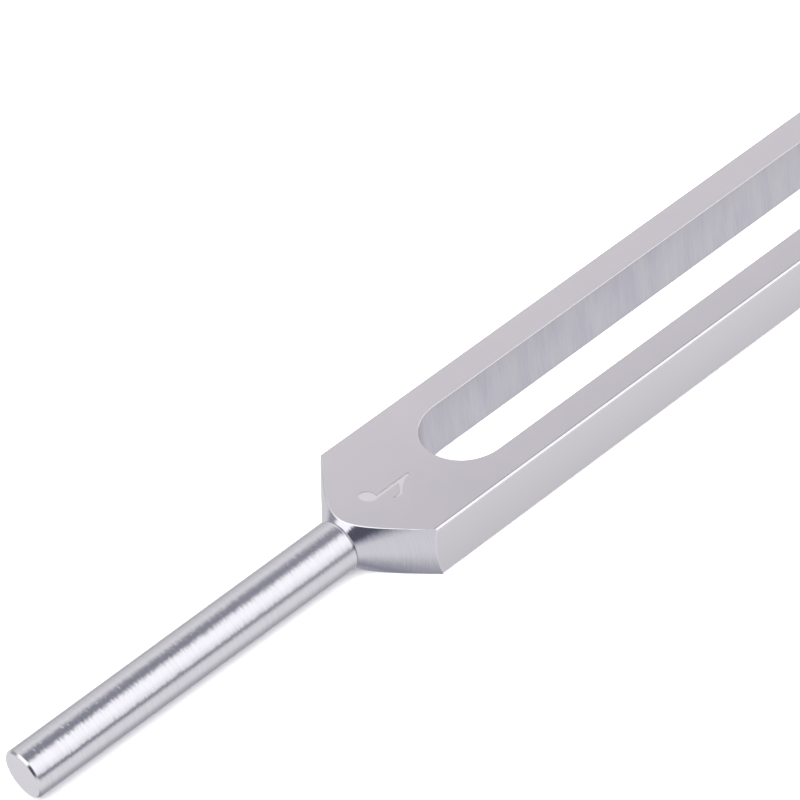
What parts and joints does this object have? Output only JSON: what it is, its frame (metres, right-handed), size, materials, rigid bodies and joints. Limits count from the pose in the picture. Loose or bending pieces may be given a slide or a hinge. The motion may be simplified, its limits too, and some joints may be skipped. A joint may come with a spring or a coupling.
{
  "type": "tuning fork",
  "caption": "Flat two-tined aluminium tuning fork with a conical shoulder and a round screwed-on stem, sounding C at 128 Hz, with a small engraved note sign.",
  "frame": {"origin": "centre of the stem's flat foot face", "axes": "+Y along the stem towards the tips of the tines, +X across the two tines, +Z out of the marked broad face; the fork lies flat"},
  "size_m": [0.025, 0.269, 0.009],
  "materials": {
    "machined_aluminium": "fine satin, sanded broad faces with crisp bright edges",
    "turned_aluminium": "turned, with fine rings around the stem",
    "plain_steel": "plain, lightly oiled"
  },
  "bodies": {
    "root": {"fork_body": "machined_aluminium", "stem": "turned_aluminium", "joining_screw": "plain_steel"}
  },
  "joints": []
}
